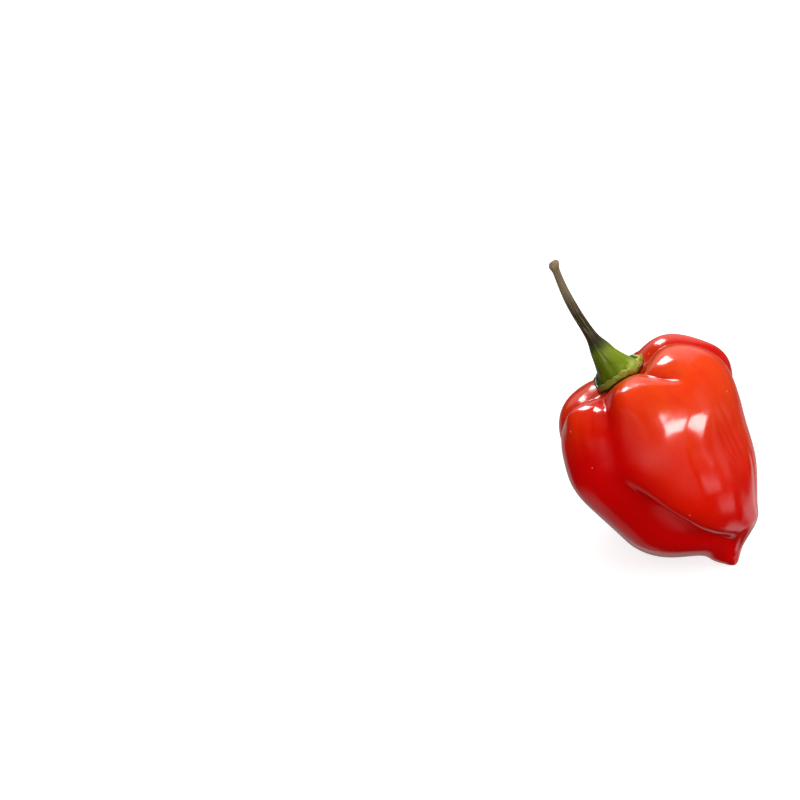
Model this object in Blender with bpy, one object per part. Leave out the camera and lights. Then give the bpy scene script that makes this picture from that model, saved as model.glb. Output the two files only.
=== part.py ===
"""A ripe habanero pepper, resting on its belly and blossom tip: the lobed red fruit and its green stem.

Both pieces are drawn in the fruit's own frame, in millimetres. The origin is the stem's seat, +Z runs
from the blossom tip up to the seat, +X to the right-hand shoulder and -Y out of the broad front lobe.
A bearing is an angle about +Z in degrees, from the front (0) over the right (90) to the back (180).
A way is how far a point lies along the skin from the seat (0) to the blossom tip (1).
"""

import math

import bmesh
import bpy
import numpy as np
from mathutils import Matrix

MM = 0.001

# Driving dimensions
FRUIT_LENGTH = 45.0
FRUIT_BREADTH = 40.0
STEM_LENGTH = 27.0
CALYX_RADIUS = 5.3
STEM_RADIUS = 1.0
CALYX_GAP = 0.35

# How the pepper lies, in degrees, and where its seat is from the spot on the table that it rests on
NODS_FORWARD = 10.0
LEANS_LEFT = 31.4
LIES_BACK = 30.0
SEAT_AT = (-7.4, 2.9, 36.85)

# Mesh sizes
FRUIT_AROUND = 80
FRUIT_ALONG = 46
STEM_AROUND = 30

# Rings of the fruit from the shoulders to the tip: the height in hundredths of the length, then the
# reach to the right, left, front and back in hundredths of half the breadth.
SECTIONS = (
    (0.0, 16.0, 16.0, 16.0, 16.0),
    (0.7, 31.0, 31.0, 31.0, 31.0),
    (2.6, 48.0, 48.0, 47.0, 48.0),
    (1.8, 67.0, 67.0, 64.0, 66.0),
    (-5.8, 91.0, 88.0, 86.0, 85.0),
    (-17.8, 100.5, 99.0, 98.0, 96.0),
    (-28.9, 98.0, 104.0, 103.0, 98.0),
    (-44.4, 88.0, 99.0, 99.0, 92.0),
    (-60.0, 78.0, 88.5, 89.5, 81.0),
    (-73.3, 63.5, 73.5, 74.0, 65.0),
    (-82.2, 51.5, 49.5, 53.0, 45.0),
    (-88.9, 36.5, 23.0, 31.0, 24.0),
    (-94.2, 16.5, 15.5, 16.0, 15.0),
    (-97.4, 8.5, 9.5, 9.0, 9.0),
)
SEAT = (-0.2, 0.0, 0.0, 0.0, 0.0)
TIP = (-100.4, -1.0, 1.0, 0.0, 0.0)

# The folds between the lobes. Each stop is a way and a bearing, then in millimetres the depth, the
# width of the bank on the side of lower and of higher bearings, and the rounding of the bottom.
FOLDS = {
    "front to left lobe": (
        (0.05, -42, 0.0, 2.0, 2.0, 0.3),
        (0.10, -38, 1.1, 2.4, 2.2, 0.3),
        (0.19, -27, 2.8, 3.0, 2.6, 0.4),
        (0.30, -28, 2.4, 4.0, 4.0, 1.0),
        (0.39, -33, 2.2, 6.0, 6.0, 2.5),
        (0.46, -35, 2.4, 7.0, 5.0, 2.5),
        (0.53, -31, 3.2, 8.0, 3.2, 1.2),
        (0.60, -26, 4.6, 9.0, 2.0, 0.6),
        (0.68, -19, 5.0, 9.0, 1.8, 0.5),
        (0.76, -13, 4.0, 7.0, 1.8, 0.5),
        (0.84, -7, 2.0, 5.0, 1.8, 0.6),
        (0.90, 0, 0.6, 4.0, 1.8, 0.7),
        (0.95, 10, 0.0, 3.0, 2.0, 0.7),
    ),
    "front shoulder": (
        (0.05, 42, 0.8, 2.0, 2.6, 0.5),
        (0.10, 32, 1.5, 1.8, 2.8, 0.3),
        (0.17, 22, 1.8, 1.8, 3.6, 0.3),
        (0.22, 23.5, 2.0, 1.8, 3.4, 0.3),
        (0.26, 27, 1.8, 1.8, 3.2, 0.3),
        (0.30, 30, 0.6, 2.0, 3.0, 0.4),
        (0.34, 32, 0.0, 2.5, 3.0, 0.8),
    ),
    "front lobe, lower right": (
        (0.40, 35, 0.0, 5.0, 5.0, 2.0),
        (0.50, 37, 0.6, 5.0, 5.0, 1.5),
        (0.62, 42, 0.9, 4.0, 4.0, 1.0),
        (0.74, 48, 0.6, 4.0, 4.0, 1.0),
        (0.84, 55, 0.0, 4.0, 4.0, 1.0),
    ),
    "front to right lobe": (
        (0.05, 100, 1.1, 2.4, 2.4, 0.4),
        (0.11, 100, 2.1, 2.6, 2.4, 0.3),
        (0.22, 96, 3.2, 5.0, 3.0, 0.4),
        (0.38, 96, 2.8, 5.0, 4.0, 0.8),
        (0.55, 102, 1.8, 5.0, 5.0, 1.5),
        (0.75, 110, 1.0, 5.0, 5.0, 1.5),
        (0.92, 120, 0.0, 5.0, 5.0, 1.0),
    ),
    "right lobe shoulder": (
        (0.10, 148, 0.0, 2.5, 2.5, 0.5),
        (0.19, 138, 1.5, 3.0, 3.0, 0.6),
        (0.27, 122, 2.9, 3.0, 2.6, 0.5),
        (0.42, 118, 0.0, 4.0, 4.0, 1.0),
    ),
    "right to back lobe": (
        (0.05, 188, 0.0, 2.0, 2.0, 0.4),
        (0.11, 188, 1.4, 2.4, 2.4, 0.4),
        (0.26, 184, 3.0, 4.0, 4.0, 0.8),
        (0.45, 178, 2.4, 5.0, 5.0, 1.2),
        (0.62, 176, 2.8, 5.0, 5.0, 1.0),
        (0.78, 180, 2.4, 5.0, 5.0, 1.0),
        (0.92, 190, 0.0, 4.0, 4.0, 1.0),
    ),
    "left to back lobe": (
        (0.05, -88, 1.3, 2.6, 2.6, 0.5),
        (0.11, -84, 1.9, 2.0, 2.8, 0.4),
        (0.24, -88, 2.6, 4.0, 4.0, 0.6),
        (0.40, -100, 2.0, 5.0, 5.0, 1.2),
        (0.55, -108, 1.4, 5.0, 5.0, 1.5),
        (0.70, -116, 0.0, 5.0, 5.0, 2.0),
    ),
}
FADE_IN = 0.05
FADE_OUT = 0.03

# The mesh is led along the folds: which evenly spread bearing runs along the bottoms of which folds.
GUIDES = (
    (-99.0, ("left to back lobe",)),
    (-27.0, ("front to left lobe",)),
    (31.5, ("front shoulder", "front lobe, lower right")),
    (99.0, ("front to right lobe",)),
    (180.0, ("right to back lobe",)),
)

# Where a lobe stands prouder: a way and a bearing, then the rise, the length and the breadth in mm.
SWELLINGS = {
    "top of the right lobe": (0.18, 118, 1.6, 7.0, 6.5),
    "side of the right lobe": (0.36, 107, 3.0, 6.5, 6.0),
    "front lobe, beside the left fold": (0.24, -10, 1.3, 3.3, 3.0),
    "front shoulder": (0.17, 62, 0.5, 6.5, 6.5),
    "crest of the left lobe": (0.225, -54, 1.0, 3.6, 2.9),
    "crest of the back shoulder": (0.095, -118, 1.0, 2.4, 2.8),
    "back of the belly": (0.60, -150, 5.9, 12.0, 9.0),
    "left of the belly": (0.70, -130, 1.0, 10.0, 8.0),
}

# The stem's outline, from the middle of its underside out over the calyx's lip and up to the cut end:
# the radius in hundredths of the calyx's, the height above the seat in millimetres, and how closely
# that ring follows the fruit's shoulders under it (1 is fully).
CALYX_OUTLINE = (
    (33.0, 0.0, 1.0),
    (62.0, 0.0, 1.0),
    (84.0, 0.0, 1.0),
    (95.0, 0.05, 1.0),
    (101.0, 0.3, 1.0),
    (102.0, 0.7, 1.0),
    (97.0, 1.05, 1.0),
    (88.5, 0.8, 0.9),
    (83.0, 1.2, 0.72),
    (77.0, 1.8, 0.45),
    (66.5, 2.8, 0.2),
    (57.0, 3.9, 0.05),
    (47.5, 5.3, 0.0),
    (39.5, 6.9, 0.0),
)
# Above the calyx the radius is in hundredths of the stem's, and the height in hundredths of its length.
STALK_OUTLINE = (
    (160.0, 31.0),
    (125.0, 36.0),
    (106.0, 43.0),
    (100.0, 52.0),
    (98.0, 62.0),
    (88.0, 74.0),
    (78.0, 85.0),
    (78.0, 92.5),
    (102.0, 95.5),
    (104.0, 98.0),
    (70.0, 99.7),
)
# How far the stem's middle stands to the right of the seat, at hundredths of its length.
STEM_BENDS = ((0.0, 0.1), (8.0, -0.2), (20.0, -0.6), (32.0, -0.8), (75.0, -0.8), (100.0, 0.3))
CALYX_TEETH = 5
FIRST_TOOTH = -62.0
TOOTH_REACH = 0.3
TOOTH_LIFT = 0.25
# The calyx's broad flap, where the lip is thicker: the bearing of its middle and its spread in degrees.
FLAP_AT = 52.0
FLAP_SPREAD = 36.0
FLAP_LIFT = 0.7

FRUIT_RED = (0.62, 0.012, 0.004, 1.0)
STEM_GREEN = (0.11, 0.16, 0.02, 1.0)


def natural_spline(knots, values):
    """The smooth curve through the values at the knots, as a function of an array."""
    knots = np.asarray(knots, float)
    values = np.asarray(values, float)
    step = np.diff(knots)
    count = len(knots)
    system = np.eye(count)
    bends = np.zeros(count)
    for i in range(1, count - 1):
        system[i, i - 1 : i + 2] = step[i - 1], 2 * (step[i - 1] + step[i]), step[i]
        slopes = np.diff(values[i - 1 : i + 2]) / step[i - 1 : i + 1]
        bends[i] = 6 * (slopes[1] - slopes[0])
    bends = np.linalg.solve(system, bends)

    def curve(at):
        at = np.clip(at, knots[0], knots[-1])
        i = np.clip(np.searchsorted(knots, at, side="right") - 1, 0, count - 2)
        after = (knots[i + 1] - at) / step[i]
        before = (at - knots[i]) / step[i]
        cubic = (after**3 - after) * bends[i] + (before**3 - before) * bends[i + 1]
        return after * values[i] + before * values[i + 1] + cubic * step[i] ** 2 / 6

    return curve


def ease(share):
    """0 below 0, 1 above 1, and a smooth step between."""
    share = np.clip(share, 0, 1)
    return share * share * (3 - 2 * share)


def turn_between(bearing, middle):
    """The signed angle from the middle to the bearing, the short way round, all in radians."""
    return (bearing - middle + math.pi) % (2 * math.pi) - math.pi


class Skin:
    """The fruit's skin: a smooth hull through the sections, sunk at the folds and raised at the swellings."""

    def __init__(self):
        """Fits the curves through the sections and along the folds."""
        unit = np.array([FRUIT_LENGTH] + [FRUIT_BREADTH / 2] * 4) / 100
        rings = np.array((SEAT,) + SECTIONS + (TIP,)) * unit
        reach = rings[:, 1:].mean(axis=1)
        run = np.concatenate([[0], np.cumsum(np.hypot(np.diff(rings[:, 0]), np.diff(reach)))])
        self.length = run[-1]
        way = run / self.length
        # Past each pole the rings are mirrored, so that the hull closes there without a point.
        mirrored = rings[:, [0, 2, 1, 4, 3]] * [1, -1, -1, -1, -1]
        knots = np.concatenate([-way[1:4][::-1], way, 2 - way[-4:-1][::-1]])
        table = np.vstack([mirrored[1:4][::-1], rings, mirrored[-4:-1][::-1]])
        self.hull_curves = [natural_spline(knots, column) for column in table.T]
        self.way_of_reach = (reach[:8], way[:8])
        self.folds = []
        for stops in FOLDS.values():
            stops = np.array(stops)
            curves = [natural_spline(stops[:, 0], column) for column in stops[:, 1:].T]
            self.folds.append((stops[0, 0], stops[-1, 0], curves))
        self.guides = []
        for _, names in GUIDES:
            stops = np.array([stop for name in names for stop in FOLDS[name]])
            self.guides.append(natural_spline(stops[:, 0], stops[:, 1]))

    def led_bearing(self, way, bearing):
        """The bearings on one ring, turned so that those of the guides lie at the bottoms of their folds."""
        even = [-180.0] + [guide[0] for guide in GUIDES]
        bottoms = [float(curve(way)) for curve in self.guides]
        return np.radians(np.interp(np.degrees(bearing), even, [bottoms[-1] - 360.0] + bottoms))

    def hull(self, way, bearing):
        """The points of the hull, before any fold."""
        height, right, left, front, back = (curve(way) for curve in self.hull_curves)
        x = (right - left) / 2 + (right + left) / 2 * np.sin(bearing)
        y = (back - front) / 2 - (back + front) / 2 * np.cos(bearing)
        return np.stack([x, y, height], axis=-1)

    def outward(self, way, bearing):
        """The hull's unit normals."""
        nudge = 1e-3
        before = np.clip(way - nudge, 0.002, 0.998)
        after = np.clip(way + nudge, 0.0021, 0.9981)
        middle = np.clip(way, 0.004, 0.996)
        along = self.hull(after, bearing) - self.hull(before, bearing)
        across = self.hull(middle, bearing + nudge) - self.hull(middle, bearing - nudge)
        normal = np.cross(along, across)
        return normal / np.linalg.norm(normal, axis=-1, keepdims=True)

    def sunk(self, way, bearing, reach):
        """How far each point lies below the hull: the folds, less the swellings."""
        depth = np.zeros(way.shape)
        for first, last, (middle, deep, low_bank, high_bank, rounding) in self.folds:
            off = turn_between(bearing, np.radians(middle(way))) * np.maximum(reach, 0.5)
            bank = np.where(off < 0, low_bank(way), high_bank(way))
            soft = rounding(way)
            fade = ease((way - first + FADE_IN) / FADE_IN) * ease((last + FADE_OUT - way) / FADE_OUT)
            profile = np.exp((soft - np.hypot(off, soft)) / bank)
            depth += np.maximum(deep(way), 0) * fade * profile
        for at_way, at_bearing, rise, long, broad in SWELLINGS.values():
            along = (way - at_way) * self.length / long
            across = turn_between(bearing, math.radians(at_bearing)) * reach / broad
            depth -= rise * np.exp(-(along**2) - across**2)
        return depth

    def points(self, way, bearing):
        """The points of the finished skin."""
        hull = self.hull(way, bearing)
        reach = np.hypot(hull[..., 0], hull[..., 1])
        return hull - self.outward(way, bearing) * self.sunk(way, bearing, reach)[..., None]

    def height_at(self, radius, bearing):
        """The skin's height at a distance from the axis, near the seat."""
        way = np.interp(radius, *self.way_of_reach)
        return self.points(way, bearing)[..., 2]


def ball(around, along):
    """A round mesh, with each vertex's ring, counted from 0 at the top pole, and its bearing."""
    mesh = bmesh.new()
    bmesh.ops.create_uvsphere(mesh, u_segments=around, v_segments=along, radius=1.0)
    at = np.array([vertex.co for vertex in mesh.verts])
    ring = np.rint(np.arccos(np.clip(at[:, 2], -1, 1)) / math.pi * along).astype(int)
    bearing = np.arctan2(at[:, 0], -at[:, 1])
    return mesh, ring, bearing


def lie(points):
    """The points turned from the fruit's frame to the way that the pepper lies, and put in metres."""
    turn = (
        Matrix.Rotation(math.radians(-LIES_BACK), 3, "X")
        @ Matrix.Rotation(math.radians(-LEANS_LEFT), 3, "Y")
        @ Matrix.Rotation(math.radians(NODS_FORWARD), 3, "X")
    )
    return (points @ np.array(turn).T + SEAT_AT) * MM


def set_points(mesh, points):
    """Moves the mesh's vertices to the points."""
    for vertex, point in zip(mesh.verts, points):
        vertex.co = point


def flatten_on_table(mesh):
    """Cuts off what is below the table and closes the cuts."""
    everything = mesh.verts[:] + mesh.edges[:] + mesh.faces[:]
    bmesh.ops.bisect_plane(
        mesh, geom=everything, dist=1e-6, plane_co=(0, 0, 0), plane_no=(0, 0, 1), clear_inner=True
    )
    rim = [edge for edge in mesh.edges if edge.is_boundary]
    for vertex in {vertex for edge in rim for vertex in edge.verts}:
        vertex.co.z = 0.0
    bmesh.ops.holes_fill(mesh, edges=rim, sides=0)
    bmesh.ops.recalc_face_normals(mesh, faces=mesh.faces)


def add_object(name, mesh, material):
    """Makes an object of the mesh, shaded smooth but for its flats and edges."""
    data = bpy.data.meshes.new(name)
    mesh.to_mesh(data)
    mesh.free()
    data.shade_smooth()
    data.set_sharp_from_angle(angle=math.radians(50))
    data.materials.append(material)
    made = bpy.data.objects.new(name, data)
    bpy.context.scene.collection.objects.link(made)
    return made


def plain_material(name, colour, roughness):
    """A Principled BSDF of one colour."""
    material = bpy.data.materials.new(name)
    material.use_nodes = True
    shader = material.node_tree.nodes["Principled BSDF"]
    shader.inputs["Base Color"].default_value = colour
    shader.inputs["Roughness"].default_value = roughness
    shader.inputs["Metallic"].default_value = 0.0
    return material


def fruit_mesh(skin):
    """The fruit, lying, with its resting flats."""
    mesh, ring, bearing = ball(FRUIT_AROUND, FRUIT_ALONG)
    for number in range(FRUIT_ALONG + 1):
        on_ring = ring == number
        bearing[on_ring] = skin.led_bearing(number / FRUIT_ALONG, bearing[on_ring])
    set_points(mesh, lie(skin.points(ring / FRUIT_ALONG, bearing)))
    flatten_on_table(mesh)
    return mesh


def stem_rings(skin, bearing):
    """The stem's points ring by ring, from the cut end down: one row for each ring."""
    middle_height, middle_right = np.array(STEM_BENDS).T
    centre = natural_spline(middle_height * STEM_LENGTH / 100, middle_right)
    tooth = np.maximum(np.cos(CALYX_TEETH * (bearing - math.radians(FIRST_TOOTH))), 0) ** 2
    flap = np.exp(-((turn_between(bearing, math.radians(FLAP_AT)) / math.radians(FLAP_SPREAD)) ** 2))
    rings = []
    for share, part_height in reversed(STALK_OUTLINE):
        height = part_height * STEM_LENGTH / 100
        radius = share * STEM_RADIUS / 100
        x = centre(height) + radius * np.sin(bearing)
        rings.append(np.stack([x, -radius * np.cos(bearing), np.full_like(x, height)], axis=-1))
    for share, lift, follows in reversed(CALYX_OUTLINE):
        at_lip = ease((share - 80) / 15) * follows
        radius = share * CALYX_RADIUS / 100 + TOOTH_REACH * at_lip * tooth
        height = lift + CALYX_GAP + follows * skin.height_at(radius, bearing)
        height = height + (TOOTH_LIFT * tooth + FLAP_LIFT * flap) * at_lip * ease(lift)
        x = centre(lift) * (1 - follows) + radius * np.sin(bearing)
        rings.append(np.stack([x, -radius * np.cos(bearing), height], axis=-1))
    return np.array(rings)


def stem_mesh(skin):
    """The stem and its calyx, lying."""
    along = len(STALK_OUTLINE) + len(CALYX_OUTLINE) + 1
    mesh, ring, bearing = ball(STEM_AROUND, along)
    points = np.zeros((len(ring), 3))
    points[ring == 0] = (STEM_BENDS[-1][1], 0, STEM_LENGTH)
    points[ring == along] = (0, 0, CALYX_GAP + SEAT[0] * FRUIT_LENGTH / 100)
    ringed = (ring > 0) & (ring < along)
    rings = stem_rings(skin, bearing[ringed])
    points[ringed] = rings[ring[ringed] - 1, np.arange(ringed.sum())]
    set_points(mesh, lie(points))
    bmesh.ops.recalc_face_normals(mesh, faces=mesh.faces)
    return mesh


def main():
    """Builds the pepper."""
    for existing in list(bpy.data.objects):
        bpy.data.objects.remove(existing)
    skin = Skin()
    add_object("fruit", fruit_mesh(skin), plain_material("ripe skin", FRUIT_RED, 0.22))
    add_object("stem", stem_mesh(skin), plain_material("stem", STEM_GREEN, 0.5))


main()
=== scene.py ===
"""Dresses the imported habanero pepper: a glossy lobed skin and a green, browning stem, on a pale floor.

Both pieces are drawn in the fruit's own frame, in millimetres. The origin is the stem's seat, +Z runs
from the blossom tip up to the seat, +X to the right-hand shoulder and -Y out of the broad front lobe.
A bearing is an angle about +Z in degrees, from the front (0) over the right (90) to the back (180).
A way is how far a point lies along the skin from the seat (0) to the blossom tip (1).
"""

import logging
import math
from collections.abc import Callable
from dataclasses import dataclass
from enum import Enum

import bmesh
import bpy
import numpy as np
from mathutils import Matrix, Vector


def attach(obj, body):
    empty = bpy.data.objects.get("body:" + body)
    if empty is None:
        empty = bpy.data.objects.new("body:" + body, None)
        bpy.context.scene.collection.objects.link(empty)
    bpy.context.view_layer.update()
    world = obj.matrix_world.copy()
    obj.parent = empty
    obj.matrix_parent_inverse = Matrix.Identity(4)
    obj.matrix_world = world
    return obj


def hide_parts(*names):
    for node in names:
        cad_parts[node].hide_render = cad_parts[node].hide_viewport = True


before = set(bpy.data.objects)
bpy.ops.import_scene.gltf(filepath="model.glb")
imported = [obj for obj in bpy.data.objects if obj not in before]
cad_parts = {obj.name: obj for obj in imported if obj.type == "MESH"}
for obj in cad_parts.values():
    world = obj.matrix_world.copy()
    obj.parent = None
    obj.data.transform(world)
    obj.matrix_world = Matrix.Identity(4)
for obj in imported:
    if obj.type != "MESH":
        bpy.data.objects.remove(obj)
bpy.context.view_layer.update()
LOG = logging.getLogger("pepper")

MM = 0.001
Curve = Callable[[np.ndarray], np.ndarray]
Crease = tuple[float, float, list[Curve]]
Colour = tuple[float, float, float, float]

# How the pepper lies, in degrees, and where its seat is in the record's frame, in millimetres.
NODS_FORWARD = 10.0
LEANS_LEFT = 31.4
LIES_BACK = 30.0
SEAT_AT = (-7.4, 2.9, 36.85)

# Rings of the fruit from the shoulders to the tip: the height in hundredths of the length, then the
# reach to the right, left, front and back in hundredths of half the breadth.
SECTIONS = (
    (0, 16, 16, 16, 16),
    (0.7, 31, 31, 31, 31),
    (2.6, 48, 48, 47, 48),
    (1.8, 67, 67, 64, 66),
    (-5.8, 91, 88, 86, 85),
    (-17.8, 100.5, 99, 98, 96),
    (-28.9, 98, 104, 103, 98),
    (-44.4, 88, 99, 99, 92),
    (-60, 78, 88.5, 89.5, 81),
    (-73.3, 63.5, 73.5, 74, 65),
    (-82.2, 51.5, 49.5, 53, 45),
    (-88.9, 36.5, 23, 31, 24),
    (-94.2, 16.5, 15.5, 16, 15),
    (-97.4, 8.5, 9.5, 9, 9),
)
SEAT = (-0.2, 0, 0, 0, 0)
TIP = (-100.4, -1, 1, 0, 0)

# The folds between the lobes. Each stop is a way and a bearing, then in millimetres the depth, the
# width of the bank on the side of lower and of higher bearings, and the rounding of the bottom.
FOLDS = {
    "front to left lobe": (
        (0.05, -42, 0, 2, 2, 0.3),
        (0.10, -38, 1.1, 2.4, 2.2, 0.3),
        (0.19, -27, 2.8, 3, 2.6, 0.4),
        (0.30, -28, 2.4, 4, 4, 1),
        (0.39, -33, 2.2, 6, 6, 2.5),
        (0.46, -35, 2.4, 7, 5, 2.5),
        (0.53, -31, 3.2, 8, 3.2, 1.2),
        (0.60, -26, 4.6, 9, 2, 0.6),
        (0.68, -19, 5, 9, 1.8, 0.5),
        (0.76, -13, 4, 7, 1.8, 0.5),
        (0.84, -7, 2, 5, 1.8, 0.6),
        (0.90, 0, 0.6, 4, 1.8, 0.7),
        (0.95, 10, 0, 3, 2, 0.7),
    ),
    "front shoulder": (
        (0.05, 42, 0.8, 2, 2.6, 0.5),
        (0.10, 32, 1.5, 1.8, 2.8, 0.3),
        (0.17, 22, 1.8, 1.8, 3.6, 0.3),
        (0.22, 23.5, 2, 1.8, 3.4, 0.3),
        (0.26, 27, 1.8, 1.8, 3.2, 0.3),
        (0.30, 30, 0.6, 2, 3, 0.4),
        (0.34, 32, 0, 2.5, 3, 0.8),
    ),
    "front lobe, lower right": (
        (0.40, 35, 0, 5, 5, 2),
        (0.50, 37, 0.6, 5, 5, 1.5),
        (0.62, 42, 0.9, 4, 4, 1),
        (0.74, 48, 0.6, 4, 4, 1),
        (0.84, 55, 0, 4, 4, 1),
    ),
    "front to right lobe": (
        (0.05, 100, 1.1, 2.4, 2.4, 0.4),
        (0.11, 100, 2.1, 2.6, 2.4, 0.3),
        (0.22, 96, 3.2, 5, 3, 0.4),
        (0.38, 96, 2.8, 5, 4, 0.8),
        (0.55, 102, 1.8, 5, 5, 1.5),
        (0.75, 110, 1, 5, 5, 1.5),
        (0.92, 120, 0, 5, 5, 1),
    ),
    "right lobe shoulder": (
        (0.10, 148, 0, 2.5, 2.5, 0.5),
        (0.19, 138, 1.5, 3, 3, 0.6),
        (0.27, 122, 2.9, 3, 2.6, 0.5),
        (0.42, 118, 0, 4, 4, 1),
    ),
    "right to back lobe": (
        (0.05, 188, 0, 2, 2, 0.4),
        (0.11, 188, 1.4, 2.4, 2.4, 0.4),
        (0.26, 184, 3, 4, 4, 0.8),
        (0.45, 178, 2.4, 5, 5, 1.2),
        (0.62, 176, 2.8, 5, 5, 1),
        (0.78, 180, 2.4, 5, 5, 1),
        (0.92, 190, 0, 4, 4, 1),
    ),
    "left to back lobe": (
        (0.05, -88, 1.3, 2.6, 2.6, 0.5),
        (0.11, -84, 1.9, 2, 2.8, 0.4),
        (0.24, -88, 2.6, 4, 4, 0.6),
        (0.40, -100, 2, 5, 5, 1.2),
        (0.55, -108, 1.4, 5, 5, 1.5),
        (0.70, -116, 0, 5, 5, 2),
    ),
}

# Finer wrinkles in the skin, laid out as the folds are.
WRINKLES = {
    "left lobe, by the fold": (
        (0.16, -34, 0, 0.8, 0.8, 0.2),
        (0.22, -37, 0.3, 0.8, 0.8, 0.2),
        (0.30, -40, 0.2, 0.9, 0.9, 0.2),
        (0.37, -44, 0, 0.9, 0.9, 0.2),
    ),
    "left lobe, further left": (
        (0.22, -47, 0, 0.8, 0.8, 0.2),
        (0.29, -49, 0.2, 0.8, 0.8, 0.2),
        (0.36, -53, 0, 0.9, 0.9, 0.2),
    ),
    "front lobe, right flank": (
        (0.42, 36, 0, 0.8, 1.2, 0.2),
        (0.50, 40, 0.34, 0.8, 1.2, 0.2),
        (0.60, 46, 0.26, 0.8, 1.2, 0.2),
        (0.68, 50, 0, 0.8, 1.2, 0.2),
    ),
    "front lobe, outer right flank": (
        (0.40, 44, 0, 0.8, 1.2, 0.2),
        (0.48, 48, 0.32, 0.8, 1.2, 0.2),
        (0.58, 53, 0.22, 0.8, 1.2, 0.2),
        (0.66, 56, 0, 0.8, 1.2, 0.2),
    ),
    "right edge": (
        (0.58, 62, 0, 1, 1, 0.2),
        (0.66, 66, 0.45, 1.2, 1, 0.2),
        (0.76, 70, 0.38, 1.2, 1, 0.2),
        (0.84, 76, 0, 1, 1, 0.2),
    ),
}
# Over how much of the way a fold or wrinkle comes in before its first stop and goes after its last.
FADE_IN = 0.05
FADE_OUT = 0.03

# The mesh is led along the folds: which evenly spread bearing runs along the bottoms of which folds.
GUIDES = (
    (-99, ("left to back lobe",)),
    (-27, ("front to left lobe",)),
    (31.5, ("front shoulder", "front lobe, lower right")),
    (99, ("front to right lobe",)),
    (180, ("right to back lobe",)),
)

# Where a lobe stands prouder: a way and a bearing, then the rise, the length and the breadth in mm.
SWELLINGS = {
    "top of the right lobe": (0.18, 118, 1.6, 7, 6.5),
    "side of the right lobe": (0.36, 107, 3, 6.5, 6),
    "front lobe, beside the left fold": (0.24, -10, 1.3, 3.3, 3),
    "front shoulder": (0.17, 62, 0.5, 6.5, 6.5),
    "crest of the left lobe": (0.225, -54, 1, 3.6, 2.9),
    "crest of the back shoulder": (0.095, -118, 1, 2.4, 2.8),
    "back of the belly": (0.60, -150, 5.9, 12, 9),
    "left of the belly": (0.70, -130, 1, 10, 8),
}
# Smaller ones that only the fine skin has, laid out in the same way.
KNUCKLES = {
    "front lobe, beside the left fold": (0.231, -3, 0.20, 3, 2.6),
}
# The fine skin's unevenness: each layer's wavelength and height in millimetres, and its draw's seed.
UNEVENNESS = ((13, 0.06, 3), (6, 0.02, 5), (2.6, 0.007, 8))

# How orange the front lobe, the left one and the others are along their ways: partly the skin's own tone,
# partly painted light on the shoulders, which take the most light.
ORANGE_FRONT = ((0, 0.20, 0.35, 0.50, 0.65, 0.80), (0.90, 1, 0.62, 0.34, 0.12, 0))
ORANGE_LEFT = ((0, 0.22, 0.36), (0.30, 0.38, 0))
ORANGE_ELSEWHERE = ((0, 0.30, 0.70), (0.60, 0.55, 0))

# The calyx from the middle of its underside out over its lip and up its funnel: the radius in
# hundredths of the calyx's, the height above the seat in millimetres, and how closely that ring
# follows the fruit's shoulders under it (1 is fully).
CALYX_OUTLINE = (
    (33, 0, 1),
    (62, 0, 1),
    (84, 0, 1),
    (95, 0.05, 1),
    (101, 0.3, 1),
    (103, 0.7, 1),
    (103, 1.1, 1),
    (101, 1.4, 1),
    (96, 1.5, 1),
    (91, 1.25, 0.95),
    (88, 0.95, 0.9),
    (86, 1, 0.82),
    (82.5, 1.3, 0.7),
    (77, 1.8, 0.45),
    (66.5, 2.8, 0.2),
    (57, 3.9, 0.05),
    (47.5, 5.3, 0),
    (39.5, 6.9, 0),
)
# Above the calyx the radius is in hundredths of the stem's, and the height in hundredths of its length.
STALK_OUTLINE = (
    (160, 31),
    (125, 36),
    (106, 43),
    (100, 52),
    (98, 62),
    (88, 74),
    (78, 85),
    (78, 92.5),
    (102, 95.5),
    (104, 98),
    (70, 99.7),
)
# How far the stem's middle stands to the right of the seat, at hundredths of its length.
STEM_BENDS = ((0, 0.1), (8, -0.2), (20, -0.6), (32, -0.8), (75, -0.8), (100, 0.3))

# The inputs of a Mix node that take its share and its two colours, and the output with the blend.
MIX_SHARE = 0
MIX_LOW = 6
MIX_HIGH = 7
MIX_BLEND = 2


class Piece(Enum):
    """The pieces of the pepper: the CAD node that each stands for and its material slot."""

    FRUIT = ("fruit", "fruit_skin")
    STEM = ("stem", "stem_skin")


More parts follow.
